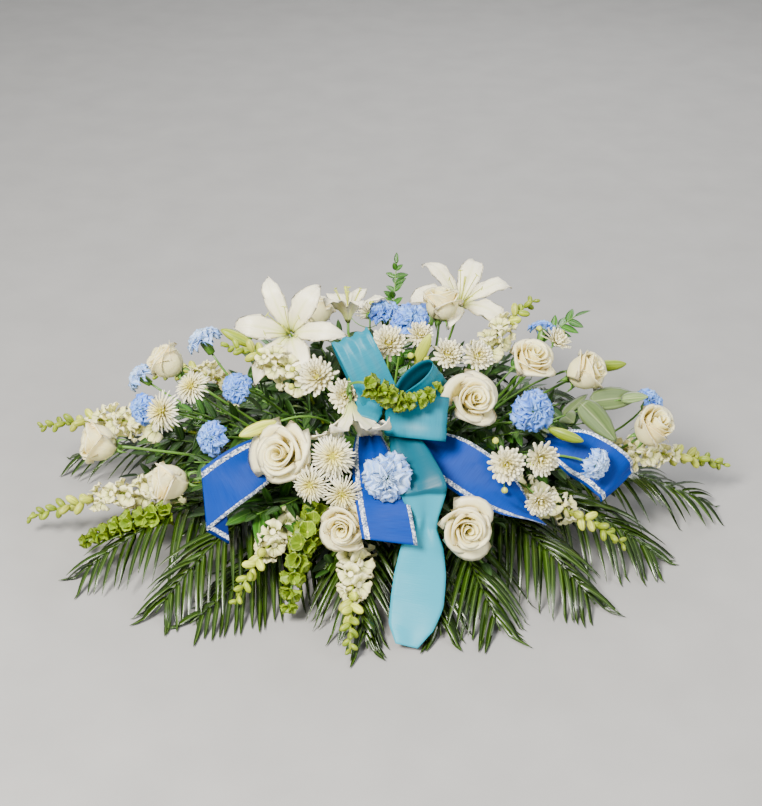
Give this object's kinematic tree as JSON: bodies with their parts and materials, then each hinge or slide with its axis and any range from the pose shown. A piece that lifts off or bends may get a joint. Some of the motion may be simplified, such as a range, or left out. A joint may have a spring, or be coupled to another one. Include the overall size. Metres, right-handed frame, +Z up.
{
  "type": "casket spray",
  "caption": "Oval casket spray of blue and white flowers over palm fronds, with a satin bow and wide ribbons, in a foam holder that stands on a flat lid.",
  "frame": {"origin": "centre of the tray's underside, on the surface that the spray stands on", "axes": "+Z up; the front with the bow and the long ribbon towards -Y; the long way of the oval along X"},
  "size_m": [1.211, 0.8452, 0.4071],
  "materials": {
    "holder_plastic": "satin",
    "wet_foam": "matt",
    "turquoise_satin": "satin",
    "royal_satin": "satin",
    "rose_petals": "soft",
    "lily_petals": "soft",
    "lily_buds": "soft",
    "carnation_petals": "soft",
    "daisy_petals": "soft",
    "spider_petals": "soft",
    "snapdragon_florets": "soft",
    "bells_cups": "soft",
    "palm_leaves": "glossy",
    "broad_leaves": "glossy"
  },
  "bodies": {
    "root": {"holder_tray": "holder_plastic", "holder_cage": "holder_plastic", "foam_block": "wet_foam", "bow": "turquoise_satin", "banner_left": "royal_satin", "banner_front": "royal_satin", "banner_far_right": "royal_satin", "rose_upper_left": "rose_petals", "rose_far_left": "rose_petals", "rose_lower_left": "rose_petals", "rose_open_left": "rose_petals", "rose_top_right": "rose_petals", "rose_centre_right": "rose_petals", "rose_right_back": "rose_petals", "rose_right": "rose_petals", "rose_far_right": "rose_petals", "rose_lower_right": "rose_petals", "rose_lower_centre": "rose_petals", "rose_back": "rose_petals", "lily_left": "lily_petals", "lily_back": "lily_petals", "lily_right": "lily_petals", "lily_centre": "lily_petals", "lily_buds_right": "lily_buds", "carnation_upper_left": "carnation_petals", "carnations_far_left": "carnation_petals", "carnation_left": "carnation_petals", "carnation_lower_left": "carnation_petals", "carnation_front": "carnation_petals", "carnations_top": "carnation_petals", "carnation_right": "carnation_petals", "carnation_lower_right": "carnation_petals", "carnation_far_right": "carnation_petals", "carnations_back": "carnation_petals", "mums_left": "daisy_petals", "mums_top": "daisy_petals", "mums_right": "daisy_petals", "mums_lower_right": "daisy_petals", "mums_right_back": "daisy_petals", "mums_back": "daisy_petals", "spider_mums_left": "spider_petals", "spider_mums_front": "spider_petals", "snapdragon_upper_left": "snapdragon_florets", "snapdragon_lower_left": "snapdragon_florets", "snapdragon_left_hanging": "snapdragon_florets", "snapdragon_front": "snapdragon_florets", "snapdragon_far_right": "snapdragon_florets", "snapdragon_lower_right": "snapdragon_florets", "snapdragon_inner_left": "snapdragon_florets", "snapdragon_upper_right": "snapdragon_florets", "snapdragon_back": "snapdragon_florets", "bells_left_hanging": "bells_cups", "bells_lower_left": "bells_cups", "bells_centre": "bells_cups", "greens_left": "palm_leaves", "greens_front": "palm_leaves", "greens_right": "palm_leaves", "greens_back": "palm_leaves", "ruscus_top": "broad_leaves", "leaves_right": "broad_leaves"}
  },
  "joints": []
}
